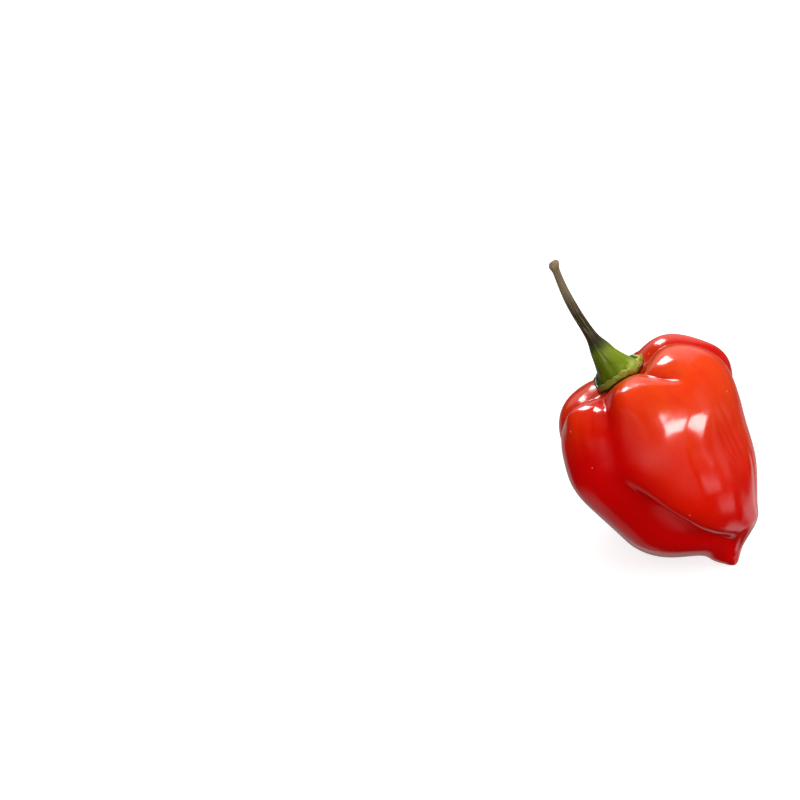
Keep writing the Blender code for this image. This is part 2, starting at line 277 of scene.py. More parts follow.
class Wire:
    """A shader socket that takes part in Python arithmetic: each operator adds a Math node."""

    def __init__(self, tree: bpy.types.NodeTree, socket: bpy.types.NodeSocket) -> None:
        """Wraps an output socket.

        Args:
            tree: The node tree that the socket is in.
            socket: The output socket.
        """
        self.tree = tree
        self.socket = socket

    def _math(self, operation: str, first: "Wire | float", second: "Wire | float") -> "Wire":
        """Adds a Math node.

        Args:
            operation: The Math node's operation.
            first: Its first value or link.
            second: Its second value or link.

        Returns:
            The node's output.
        """
        node = self.tree.nodes.new("ShaderNodeMath")
        node.operation = operation
        for socket, value in zip(node.inputs, (first, second)):
            if isinstance(value, Wire):
                self.tree.links.new(value.socket, socket)
            else:
                socket.default_value = value
        return Wire(self.tree, node.outputs[0])

    def __add__(self, other: "Wire | float") -> "Wire":
        """Adds."""
        return self._math("ADD", self, other)

    def __radd__(self, other: float) -> "Wire":
        """Adds, with a number on the left."""
        return self._math("ADD", other, self)

    def __sub__(self, other: "Wire | float") -> "Wire":
        """Subtracts."""
        return self._math("SUBTRACT", self, other)

    def __rsub__(self, other: float) -> "Wire":
        """Subtracts from a number."""
        return self._math("SUBTRACT", other, self)

    def __mul__(self, other: "Wire | float") -> "Wire":
        """Multiplies."""
        return self._math("MULTIPLY", self, other)

    def __rmul__(self, other: float) -> "Wire":
        """Multiplies, with a number on the left."""
        return self._math("MULTIPLY", other, self)

    def __pow__(self, other: float) -> "Wire":
        """Raises to a power."""
        return self._math("POWER", self, other)

    def __truediv__(self, other: "Wire | float") -> "Wire":
        """Divides."""
        return self._math("DIVIDE", self, other)

    def over(self, other: float) -> "Wire":
        """The greater of this and a number."""
        return self._math("MAXIMUM", self, other)

    def step(self, low: float, high: float) -> "Wire":
        """A smooth step. With low above high it falls as the value grows.

        Args:
            low: Where it is 0.
            high: Where it is 1.

        Returns:
            The node's output.
        """
        node = self.tree.nodes.new("ShaderNodeMapRange")
        node.interpolation_type = "SMOOTHSTEP"
        flipped = low > high
        node.inputs["From Min"].default_value = min(low, high)
        node.inputs["From Max"].default_value = max(low, high)
        node.inputs["To Min"].default_value = float(flipped)
        node.inputs["To Max"].default_value = float(not flipped)
        self.tree.links.new(self.socket, node.inputs["Value"])
        return Wire(self.tree, node.outputs[0])


Value = Wire | float | tuple[float, ...]


class Recipe:
    """A material under construction, with one Principled BSDF."""

    def __init__(self, name: str) -> None:
        """Starts the material.

        Args:
            name: The material's name.
        """
        self.material = bpy.data.materials.new(name)
        self.material.use_nodes = True
        self.tree = self.material.node_tree
        self.shader = self.tree.nodes["Principled BSDF"]

    def node(
        self,
        kind: str,
        settings: dict[str, object] | None = None,
        inputs: dict[str | int, Value] | None = None,
        output: str | int = 0,
    ) -> Wire:
        """Adds a node.

        Args:
            kind: The node's type.
            settings: Its settings, set first. "stops" gives a colour ramp its positions and colours.
            inputs: The values or links of its sockets, by name or number.
            output: Which of its outputs is wanted.

        Returns:
            That output.
        """
        node = self.tree.nodes.new(kind)
        for key, value in (settings or {}).items():
            if key == "stops":
                while len(node.color_ramp.elements) < len(value):
                    node.color_ramp.elements.new(1.0)
                for element, (position, colour) in zip(node.color_ramp.elements, value):
                    element.position = position
                    element.color = colour
            else:
                setattr(node, key, value)
        for key, value in (inputs or {}).items():
            if isinstance(value, Wire):
                self.tree.links.new(value.socket, node.inputs[key])
            else:
                node.inputs[key].default_value = value
        return Wire(self.tree, node.outputs[output])

    def blend(self, share: Value, low: Value, high: Value) -> Wire:
        """Blends two colours.

        Args:
            share: How much of the high one.
            low: What share 0 gives.
            high: What share 1 gives.

        Returns:
            The blend.
        """
        inputs = {MIX_SHARE: share, MIX_LOW: low, MIX_HIGH: high}
        return self.node("ShaderNodeMix", {"data_type": "RGBA"}, inputs, MIX_BLEND)

    def held(self, name: str) -> Wire:
        """A value that the mesh holds at each vertex, by its name."""
        return self.node("ShaderNodeAttribute", {"attribute_name": name}, output="Fac")

    def noise(
        self, at: Wire, scale: float, detail: float = 2.0, rough: float = 0.5, warp: float = 0.0
    ) -> Wire:
        """A noise pattern.

        Args:
            at: The coordinates.
            scale: Its features per unit of the coordinates.
            detail: How many finer layers it has.
            rough: How strong these are.
            warp: How far it is distorted.

        Returns:
            A value between about 0.2 and 0.8.
        """
        inputs = {"Vector": at, "Scale": scale, "Detail": detail, "Roughness": rough, "Distortion": warp}
        return self.node("ShaderNodeTexNoise", None, inputs, "Fac")

    def bump(self, height: Wire, distance: float, below: Wire | None = None) -> Wire:
        """A bump of the given height pattern.

        Args:
            height: The pattern, from 0 to 1.
            distance: How high 1 stands, in metres.
            below: The bump that this one is laid over.

        Returns:
            The bumped normal.
        """
        inputs = {"Height": height, "Distance": distance}
        if below is not None:
            inputs["Normal"] = below
        return self.node("ShaderNodeBump", None, inputs)

    def set(self, **inputs: Value) -> None:
        """Sets or links the shader's sockets, named with underscores for spaces."""
        for key, value in inputs.items():
            socket = self.shader.inputs[key.replace("_", " ")]
            if isinstance(value, Wire):
                self.tree.links.new(value.socket, socket)
            else:
                socket.default_value = value


def natural_spline(knots: np.ndarray, values: np.ndarray) -> Curve:
    """The smooth curve through the values at the knots.

    Args:
        knots: Rising positions.
        values: The value at each.

    Returns:
        The curve as a function of an array of positions.
    """
    knots = np.asarray(knots, float)
    values = np.asarray(values, float)
    step = np.diff(knots)
    count = len(knots)
    system = np.eye(count)
    bends = np.zeros(count)
    for i in range(1, count - 1):
        system[i, i - 1 : i + 2] = step[i - 1], 2 * (step[i - 1] + step[i]), step[i]
        slopes = np.diff(values[i - 1 : i + 2]) / step[i - 1 : i + 1]
        bends[i] = 6 * (slopes[1] - slopes[0])
    bends = np.linalg.solve(system, bends)

    def curve(at: np.ndarray) -> np.ndarray:
        """The curve's value at each position."""
        at = np.clip(at, knots[0], knots[-1])
        i = np.clip(np.searchsorted(knots, at, side="right") - 1, 0, count - 2)
        after = (knots[i + 1] - at) / step[i]
        before = (at - knots[i]) / step[i]
        cubic = (after**3 - after) * bends[i] + (before**3 - before) * bends[i + 1]
        return after * values[i] + before * values[i + 1] + cubic * step[i] ** 2 / 6

    return curve


def ease(share: np.ndarray) -> np.ndarray:
    """0 below 0, 1 above 1, and a smooth step between."""
    share = np.clip(share, 0, 1)
    return share * share * (3 - 2 * share)


def turn_between(bearing: np.ndarray, middle: np.ndarray | float) -> np.ndarray:
    """The signed angle from the middle to the bearing, the short way round, all in radians."""
    return (bearing - middle + math.pi) % (2 * math.pi) - math.pi


def ripple(at: np.ndarray, wavelength: float, seed: int) -> np.ndarray:
    """A smooth random relief.

    Args:
        at: Points, in millimetres.
        wavelength: The usual distance from crest to crest, in millimetres.
        seed: The draw's seed.

    Returns:
        The relief at each point, mostly between -1 and 1.
    """
    count = 12
    draw = np.random.default_rng(seed)
    directions = draw.normal(size=(count, 3))
    directions /= np.linalg.norm(directions, axis=1)[:, None]
    waves = directions * draw.uniform(0.7, 1.3, (count, 1)) * 2 * math.pi / wavelength
    phases = draw.uniform(0, 2 * math.pi, count)
    return np.sin(at @ waves.T + phases).sum(axis=-1) / math.sqrt(2 * count)


def lying_turn() -> Matrix:
    """The rotation from the fruit's frame to the way that the pepper lies."""
    return (
        Matrix.Rotation(math.radians(-LIES_BACK), 3, "X")
        @ Matrix.Rotation(math.radians(-LEANS_LEFT), 3, "Y")
        @ Matrix.Rotation(math.radians(NODS_FORWARD), 3, "X")
    )


def lie(points: np.ndarray) -> np.ndarray:
    """The points turned from the fruit's frame to the way that the pepper lies, in metres."""
    return (points @ np.array(lying_turn()).T + SEAT_AT) * MM


def facing(azimuth: float, height: float) -> Vector:
    """The direction at an azimuth, from the front (0) over the right (90), and a height, in degrees."""
    turn, rise = math.radians(azimuth), math.radians(height)
    return Vector((math.sin(turn) * math.cos(rise), -math.cos(turn) * math.cos(rise), math.sin(rise)))


def ball(around: int, along: int) -> tuple[bmesh.types.BMesh, np.ndarray, np.ndarray]:
    """A round mesh whose rings run from the top pole to the bottom one.

    Args:
        around: Vertices on a ring.
        along: Steps from pole to pole.

    Returns:
        The mesh, each vertex's ring (0 at the top pole), and each vertex's bearing in radians.
    """
    mesh = bmesh.new()
    bmesh.ops.create_uvsphere(mesh, u_segments=around, v_segments=along, radius=1.0)
    at = np.array([vertex.co for vertex in mesh.verts])
    ring = np.rint(np.arccos(np.clip(at[:, 2], -1, 1)) / math.pi * along).astype(int)
    bearing = np.arctan2(at[:, 0], -at[:, 1])
    return mesh, ring, bearing


def finish_piece(
    piece: Piece,
    mesh: bmesh.types.BMesh,
    points: np.ndarray,
    held: dict[str, np.ndarray],
    material: bpy.types.Material,
) -> None:
    """Makes an object of the mesh that stands for a CAD node.

    Args:
        piece: Which piece it is.
        mesh: Its mesh, which is freed.
        points: Where the mesh's vertices go, in metres.
        held: Values that the mesh holds at each vertex, by name.
        material: Its material.
    """
    node, slot = piece.value
    for vertex, point in zip(mesh.verts, points):
        vertex.co = point
    bmesh.ops.recalc_face_normals(mesh, faces=mesh.faces)
    data = bpy.data.meshes.new("dressed_" + node)
    mesh.to_mesh(data)
    mesh.free()
    data.shade_smooth()
    for name, values in held.items():
        data.attributes.new(name, "FLOAT", "POINT").data.foreach_set("value", values.astype(np.float32))
    data.materials.append(material)
    made = bpy.data.objects.new("dressed_" + node, data)
    bpy.context.scene.collection.objects.link(made)
    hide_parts(node)
    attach(made, "root")
    LOG.info("%s: %d faces", made.name, len(data.polygons))


@dataclass(frozen=True)
class RipeSkin:
    """The finish of the ripe fruit: red, glossy, orange on the shoulders partly as its own tone and partly as
    painted light, with painted shade in the folds.

    Each pattern has its features per metre, and its height in metres where it stands proud.
    """

    # deep is painted shade: the darker red that the folds are laid in.
    deep: Colour = (0.66, 0.0004, 0.0003, 1.0)
    red: Colour = (0.78, 0.0006, 0.0004, 1.0)
    orange: Colour = (0.90, 0.070, 0.005, 1.0)
    speck: Colour = (1.0, 0.42, 0.22, 1.0)
    scar: Colour = (0.22, 0.06, 0.03, 1.0)
    clouds: float = 110.0
    patches: float = 160.0
    specks: float = 330.0
    bands: float = 480.0
    dimples: float = 700.0
    mottle: float = 900.0
    streaks: float = 2600.0
    stretch: float = 0.12
    dimple_height: float = 0.000014
    streak_height: float = 0.000012
    speck_height: float = 0.00003
    roughness: float = 0.10
    ior: float = 1.48
    scatter: float = 0.12
    scatter_colours: tuple[float, float, float] = (1.0, 0.25, 0.08)
    scatter_depth: float = 0.0015

    def make(self) -> bpy.types.Material:
        """Builds the material.

        Returns:
            The material.
        """
        recipe = Recipe("ripe_skin")
        turn = lying_turn().inverted().to_euler("XYZ")
        place = recipe.node("ShaderNodeTexCoord", output="Object")
        even = recipe.node("ShaderNodeMapping", None, {"Vector": place, "Rotation": tuple(turn)})
        drawn_out = {"Vector": even, "Scale": (1.0, 1.0, self.stretch)}
        long = recipe.node("ShaderNodeMapping", None, drawn_out)
        clouds = recipe.noise(even, self.clouds, 3.0, 0.55)
        patches = recipe.noise(even, self.patches, 1.0).step(0.48, 0.66)
        specks = self.speckle(recipe, even)
        dimpled = recipe.bump(recipe.noise(even, self.dimples, warp=0.6), self.dimple_height)
        streaked = recipe.bump(recipe.noise(long, self.streaks) * patches, self.streak_height, dimpled)
        recipe.set(
            Base_Color=self.colour(recipe, even, long, clouds, specks),
            Roughness=self.roughness + clouds * 0.06 + patches * 0.05 + recipe.held("tip_scar") * 0.3,
            Normal=recipe.bump(specks, self.speck_height, streaked),
            Metallic=0.0,
            IOR=self.ior,
            Subsurface_Weight=self.scatter,
            Subsurface_Radius=self.scatter_colours,
            Subsurface_Scale=self.scatter_depth,
        )
        return recipe.material

    def speckle(self, recipe: Recipe, even: Wire) -> Wire:
        """The pale specks: a small dot in a few of the cells that the skin is divided into.

        Args:
            recipe: The material.
            even: Coordinates along the fruit.

        Returns:
            1 on a speck and 0 elsewhere.
        """
        cell = {"Vector": even, "Scale": self.specks, "Randomness": 1.0}
        near = recipe.node("ShaderNodeTexVoronoi", {"feature": "F1"}, cell, "Distance")
        draw = recipe.node("ShaderNodeTexVoronoi", {"feature": "F1"}, cell, "Color")
        chance = recipe.node("ShaderNodeSeparateColor", None, {0: draw}, 0)
        return near.step(0.075, 0.035) * chance.step(0.70, 0.72)

    def colour(self, recipe: Recipe, even: Wire, long: Wire, clouds: Wire, specks: Wire) -> Wire:
        """The skin's colour.

        Args:
            recipe: The material.
            even: Coordinates along the fruit.
            long: The same, drawn out from tip to seat.
            clouds: The broad cloudy pattern.
            specks: The pale specks.

        Returns:
            The colour.
        """
        mottle = recipe.noise(even, self.mottle, rough=0.6)
        bands = recipe.noise(long, self.bands)
        # The orange stands partly for the skin's own ripening and partly for painted light on the lit
        # shoulders.
        ripeness_and_painted_light = recipe.held("orange") * (1.0 + (clouds - 0.5) * 1.2 + (bands - 0.5) * 0.8)
        # Painted shade: the deeper a point lies in a fold, the more of the darker deep red it takes.
        depth = recipe.held("fold") + (clouds - 0.5) * 0.3
        colour = recipe.blend(ripeness_and_painted_light, self.red, self.orange)
        colour = recipe.blend(depth.step(0.05, 0.7), colour, self.deep)
        colour = recipe.blend((mottle - 0.5).over(0.0) * ripeness_and_painted_light, colour, self.orange)
        colour = recipe.blend(specks * 0.75, colour, self.speck)
        return recipe.blend(recipe.held("tip_scar"), colour, self.scar)


@dataclass(frozen=True)
class StemSkin:
    """The finish of the stem: a green funnel with a pale lip, a dark neck, a grey-brown stalk, a tan end,
    with painted shade at the funnel's foot, in the groove under the lip and on its left, and a painted glint
    on the flap.

    The furrows are counted around and up the stem, the grain and the blotches in features per metre.
    Heights are in metres.
    """

    lip: Colour = (0.52, 0.63, 0.085, 1.0)
    green: Colour = (0.200, 0.290, 0.002, 1.0)
    shade: Colour = (0.045, 0.065, 0.001, 1.0)
    neck: Colour = (0.030, 0.022, 0.002, 1.0)
    stalk: Colour = (0.200, 0.150, 0.080, 1.0)
    cut_end: Colour = (0.31, 0.21, 0.12, 1.0)
    dry: Colour = (0.30, 0.21, 0.11, 1.0)
    furrows: float = 3.6
    furrow_stretch: float = 2.4
    blotches: float = 420.0
    grain: float = 1500.0
    furrow_height: float = 0.00035
    grain_height: float = 0.00008
    roughness: float = 0.30
    mirroring: float = 0.22
    lip_coat: float = 0.5
    coat_roughness: float = 0.14
    scatter: float = 0.05
    scatter_colours: tuple[float, float, float] = (0.5, 1.0, 0.2)
    scatter_depth: float = 0.0005

    def make(self) -> bpy.types.Material:
        """Builds the material.

        Returns:
            The material.
        """
        recipe = Recipe("stem_skin")
        up = recipe.held("up")
        around = {0: recipe.held("around_x"), 1: recipe.held("around_y"), 2: up * self.furrow_stretch}
        at = recipe.node("ShaderNodeCombineXYZ", None, around)
        place = recipe.node("ShaderNodeTexCoord", output="Object")
        furrows = recipe.noise(at, self.furrows, 3.0, 0.6)
        grain = recipe.noise(place, self.grain, 3.0, 0.6)
        blotches = recipe.noise(place, self.blotches, rough=0.55)
        normal = recipe.bump(furrows, self.furrow_height)
        recipe.set(
            Base_Color=self.colour(recipe, up, furrows, grain, blotches),
            Roughness=self.roughness + up.step(0.1, 0.4) * 0.5 + (grain - 0.5) * 0.2,
            Normal=recipe.bump(grain, self.grain_height, normal),
            Metallic=0.0,
            Specular_IOR_Level=self.mirroring,
            Coat_Weight=(recipe.held("lip") + recipe.held("flap")) * self.lip_coat,
            Coat_Roughness=self.coat_roughness,
            Subsurface_Weight=self.scatter,
            Subsurface_Radius=self.scatter_colours,
            Subsurface_Scale=self.scatter_depth,
        )
        return recipe.material

    def colour(self, recipe: Recipe, up: Wire, furrows: Wire, grain: Wire, blotches: Wire) -> Wire:
        """The stem's colour.

        Args:
            recipe: The material.
            up: How far up the stem, from 0 to 1.
            furrows: The pattern of the long furrows.
            grain: The finest pattern.
            blotches: The coarser pattern.

        Returns:
            The colour.
        """
        # The darkest green at the foot of the calyx, under its lip, is painted shade.
        stops = (
            (0.0, self.shade),
            (0.045, self.green),
            (0.22, self.green),
            (0.29, self.shade),
            (0.33, self.neck),
            (0.56, self.neck),
            (0.76, self.stalk),
            (0.93, self.stalk),
            (0.97, self.cut_end),
        )
        height = up + (furrows - 0.5) * 0.12
        pale = recipe.held("lip") * grain.step(0.24, 0.54) * 0.85
        dryness = furrows.step(0.52, 0.68) * up.step(0.3, 0.5)
        colour = recipe.node("ShaderNodeValToRGB", {"stops": stops}, {0: height})
        colour = recipe.blend(blotches.step(0.55, 0.72) * 0.35, colour, self.shade)
        colour = recipe.blend(pale, colour, self.lip)
        # Painted glint: the pale lip colour is laid in patches on the flap's bulge.
        colour = recipe.blend(recipe.held("flap") * blotches.step(0.46, 0.56), colour, self.lip)
        # Painted shade: the groove under the lip is darkened.
        colour = recipe.blend(recipe.held("groove") * 0.85, colour, self.shade)
        # Painted shade: the funnel is darkened on its left side.
        colour = recipe.blend(recipe.held("left_side") * up.step(0.3, 0.2), colour, self.shade)
        colour = recipe.blend(recipe.held("tooth") * 0.7, colour, self.neck)
        return recipe.blend(dryness * 0.7, colour, self.dry)


@dataclass(frozen=True)
class PaleFloor:
    """The finish of the studio's floor: plain and matt, with a white glow that takes its shadows back."""

    colour: Colour = (0.42, 0.42, 0.42, 1.0)
    glow: float = 0.80

    def make(self) -> bpy.types.Material:
        """Builds the material.

        Returns:
            The material.
        """
        recipe = Recipe("pale_floor")
        recipe.set(Base_Color=self.colour, Roughness=0.7, Specular_IOR_Level=0.0)
        recipe.set(Emission_Color=(1.0, 1.0, 1.0, 1.0), Emission_Strength=self.glow)
        return recipe.material


@dataclass
class Skin:
    """The fruit's skin: a smooth hull through the sections, sunk at the folds and raised at the swellings.

    Its sizes are in millimetres. From the seat the skin is even until one way, and grows uneven over the
    next stretch. It grows even again over the last stretch before the tip.
    """

    length: float = 45.0
    breadth: float = 40.0
    shoulder_rings: int = 8
    even_until: float = 0.10
    grows_over: float = 0.25
    last_stretch: float = 0.10

    def __post_init__(self) -> None:
        """Fits the curves through the sections and along the folds."""
        unit = np.array([self.length] + [self.breadth / 2] * 4) / 100
        rings = np.array((SEAT,) + SECTIONS + (TIP,)) * unit
        reach = rings[:, 1:].mean(axis=1)
        run = np.concatenate([[0], np.cumsum(np.hypot(np.diff(rings[:, 0]), np.diff(reach)))])
        self.run = run[-1]
        way = run / self.run
        # Past each pole the rings are mirrored, so that the hull closes there without a point.
        mirrored = rings[:, [0, 2, 1, 4, 3]] * [1, -1, -1, -1, -1]
        knots = np.concatenate([-way[1:4][::-1], way, 2 - way[-4:-1][::-1]])
        table = np.vstack([mirrored[1:4][::-1], rings, mirrored[-4:-1][::-1]])
        self.hull_curves = [natural_spline(knots, column) for column in table.T]
        self.way_of_reach = (reach[: self.shoulder_rings], way[: self.shoulder_rings])
        self.folds = [self.fold_curves(stops) for stops in FOLDS.values()]
        self.wrinkles = [self.fold_curves(stops) for stops in WRINKLES.values()]
        # Each guide's bearing as a curve of the way.
        self.guides = []
        for _, names in GUIDES:
            stops = np.array([stop for name in names for stop in FOLDS[name]])
            self.guides.append(natural_spline(stops[:, 0], stops[:, 1]))

    def fold_curves(self, stops: tuple[tuple[float, ...], ...]) -> Crease:
        """The curves along one fold.

        Args:
            stops: The fold's stops.

        Returns:
            Its first and last way, and the curves of its bearing, depth, banks and rounding.
        """
        table = np.array(stops)
        return table[0, 0], table[-1, 0], [natural_spline(table[:, 0], column) for column in table[:, 1:].T]

    def led_bearing(self, way: float, bearing: np.ndarray) -> np.ndarray:
        """Turns the bearings on one ring, so that those of the guides lie at the bottoms of their folds.

        Args:
            way: The ring's way.
            bearing: Evenly spread bearings, in radians.

        Returns:
            The turned bearings, in radians.
        """
        even = [-180.0] + [guide[0] for guide in GUIDES]
        bottoms = [float(curve(way)) for curve in self.guides]
        return np.radians(np.interp(np.degrees(bearing), even, [bottoms[-1] - 360.0] + bottoms))

    def hull(self, way: np.ndarray, bearing: np.ndarray) -> np.ndarray:
        """The points of the hull, before any fold.

        Args:
            way: The points' ways.
            bearing: Their bearings, in radians.

        Returns:
            The points, in millimetres.
        """
        height, right, left, front, back = (curve(way) for curve in self.hull_curves)
        x = (right - left) / 2 + (right + left) / 2 * np.sin(bearing)
        y = (back - front) / 2 - (back + front) / 2 * np.cos(bearing)
        return np.stack([x, y, height], axis=-1)

    def outward(self, way: np.ndarray, bearing: np.ndarray) -> np.ndarray:
        """The hull's unit normals, from points a nudge apart.

        Args:
            way: The points' ways.
            bearing: Their bearings, in radians.

        Returns:
            The normals.
        """
        nudge = 1e-3
        before = np.clip(way - nudge, 0.002, 0.998)
        after = np.clip(way + nudge, 0.0021, 0.9981)
        middle = np.clip(way, 0.004, 0.996)
        along = self.hull(after, bearing) - self.hull(before, bearing)
        across = self.hull(middle, bearing + nudge) - self.hull(middle, bearing - nudge)
        normal = np.cross(along, across)
        return normal / np.linalg.norm(normal, axis=-1, keepdims=True)

    def creased(
        self, way: np.ndarray, bearing: np.ndarray, reach: np.ndarray, creases: list[Crease]
    ) -> np.ndarray:
        """How deep some folds or wrinkles are at each point, in millimetres.

        Args:
            way: The points' ways.
            bearing: Their bearings, in radians.
            reach: Their distances from the fruit's axis.
            creases: The curves of the folds.

        Returns:
            The depths.
        """
        depth = np.zeros(way.shape)
        for first, last, (middle, deep, low_bank, high_bank, rounding) in creases:
            off = turn_between(bearing, np.radians(middle(way))) * np.maximum(reach, 0.5)
            bank = np.where(off < 0, low_bank(way), high_bank(way))
            soft = rounding(way)
            fade = ease((way - first + FADE_IN) / FADE_IN) * ease((last + FADE_OUT - way) / FADE_OUT)
            profile = np.exp((soft - np.hypot(off, soft)) / bank)
            depth += np.maximum(deep(way), 0) * fade * profile
        return depth

    def swollen(
        self, way: np.ndarray, bearing: np.ndarray, reach: np.ndarray, swellings: dict[str, tuple[float, ...]]
    ) -> np.ndarray:
        """How far some swellings raise each point, in millimetres.

        Args:
            way: The points' ways.
            bearing: Their bearings, in radians.
            reach: Their distances from the fruit's axis.
            swellings: The swellings.

        Returns:
            The rises.
        """
        rise = np.zeros(way.shape)
        for at_way, at_bearing, most, long, broad in swellings.values():
            along = (way - at_way) * self.run / long
            across = turn_between(bearing, math.radians(at_bearing)) * reach / broad
            rise += most * np.exp(-(along**2) - across**2)
        return rise

    def points(self, way: np.ndarray, bearing: np.ndarray, fine: bool = False) -> np.ndarray:
        """The points of the finished skin.

        Args:
            way: The points' ways.
            bearing: Their bearings, in radians.
            fine: Whether the wrinkles, the knuckles and the unevenness are wanted too.

        Returns:
            The points, in millimetres.
        """
        hull = self.hull(way, bearing)
        reach = np.hypot(hull[..., 0], hull[..., 1])
        sunk = self.creased(way, bearing, reach, self.folds) - self.swollen(way, bearing, reach, SWELLINGS)
        if fine:
            uneven = ease((way - self.even_until) / self.grows_over) * ease((1 - way) / self.last_stretch)
            waves = sum(height * ripple(hull, wavelength, seed) for wavelength, height, seed in UNEVENNESS)
            sunk += self.creased(way, bearing, reach, self.wrinkles)
            sunk -= self.swollen(way, bearing, reach, KNUCKLES)
            sunk += uneven * waves
        return hull - self.outward(way, bearing) * sunk[..., None]

    def height_at(self, radius: np.ndarray, bearing: np.ndarray) -> np.ndarray:
        """The skin's height at a distance from the axis, near the seat."""
        way = np.interp(radius, *self.way_of_reach)
        return self.points(way, bearing)[..., 2]


@dataclass
class Fruit:
    """The fruit, with its fine relief.

    Bearings are in degrees: where the left, the front and the right lobe start, over how much of a turn
    their colours change, and between which two the front lobe's painted shade by the left fold gives way to
    orange. The flank is an orange patch on its right: a way and a bearing, the spread in each, and how
    orange it is. The orange is partly the skin's own tone and partly painted light.
    """

    skin: Skin
    around: int = 320
    along: int = 240
    lobe_starts: tuple[float, float, float] = (-95.0, -32.0, 90.0)
    lobe_change: float = 16.0
    orange_from: float = -30.0
    orange_full: float = 15.0
    flank: tuple[float, float, float, float, float] = (0.55, 76.0, 0.14, 18.0, 0.35)
    deepest_fold: float = 5.0
    scar_width: float = 1.1
    scar_edge: float = 0.5

    def build(self) -> None:
        """Builds and dresses the fruit."""
        mesh, ring, bearing = ball(self.around, self.along)
        for number in range(self.along + 1):
            on_ring = ring == number
            bearing[on_ring] = self.skin.led_bearing(number / self.along, bearing[on_ring])
        way = ring / self.along
        points = lie(self.skin.points(way, bearing, fine=True))
        # The belly and the tip are pressed flat where they rest.
        points[:, 2] = np.maximum(points[:, 2], 0.0)
        finish_piece(Piece.FRUIT, mesh, points, self.held(way, bearing), RipeSkin().make())

    def held(self, way: np.ndarray, bearing: np.ndarray) -> dict[str, np.ndarray]:
        """What the mesh holds for its finish.

        Args:
            way: Each vertex's way.
            bearing: Each vertex's bearing, in radians.

        Returns:
            How orange each vertex is, partly as painted light, how deep in a fold it lies, which sets the
            painted shade there, and whether it is the blossom scar.
        """
        hull = self.skin.hull(way, bearing)
        reach = np.hypot(hull[:, 0], hull[:, 1])
        fold = self.skin.creased(way, bearing, reach, self.skin.folds)
        scar = ease((self.scar_width - (1 - way) * self.skin.run) / self.scar_edge)
        orange = self.orange(way, np.degrees(bearing))
        return {"orange": orange, "fold": fold / self.deepest_fold, "tip_scar": scar}

    def orange(self, way: np.ndarray, degrees: np.ndarray) -> np.ndarray:
        """How orange the skin is, partly as its own tone and partly as painted light.

        Args:
            way: Each vertex's way.
            degrees: Each vertex's bearing.

        Returns:
            The amounts.
        """
        turned = ((degrees - start) / self.lobe_change for start in self.lobe_starts)
        past_left, past_front, past_right = (ease(share) for share in turned)
        front = past_front * (1 - past_right)
        left = past_left * (1 - past_front)
        # Painted shade: the front lobe's orange is held back towards the left fold.
        clear_of_valley_shade = ease((degrees - self.orange_from) / (self.orange_full - self.orange_from))
        flank_way, flank_bearing, flank_long, flank_broad, amount = self.flank
        along = (way - flank_way) / flank_long
        across = (degrees - flank_bearing) / flank_broad
        return (
            front * clear_of_valley_shade * np.interp(way, *ORANGE_FRONT)
            + left * np.interp(way, *ORANGE_LEFT)
            + (1 - front - left) * np.interp(way, *ORANGE_ELSEWHERE)
            + amount * np.exp(-(along**2) - across**2)
        )


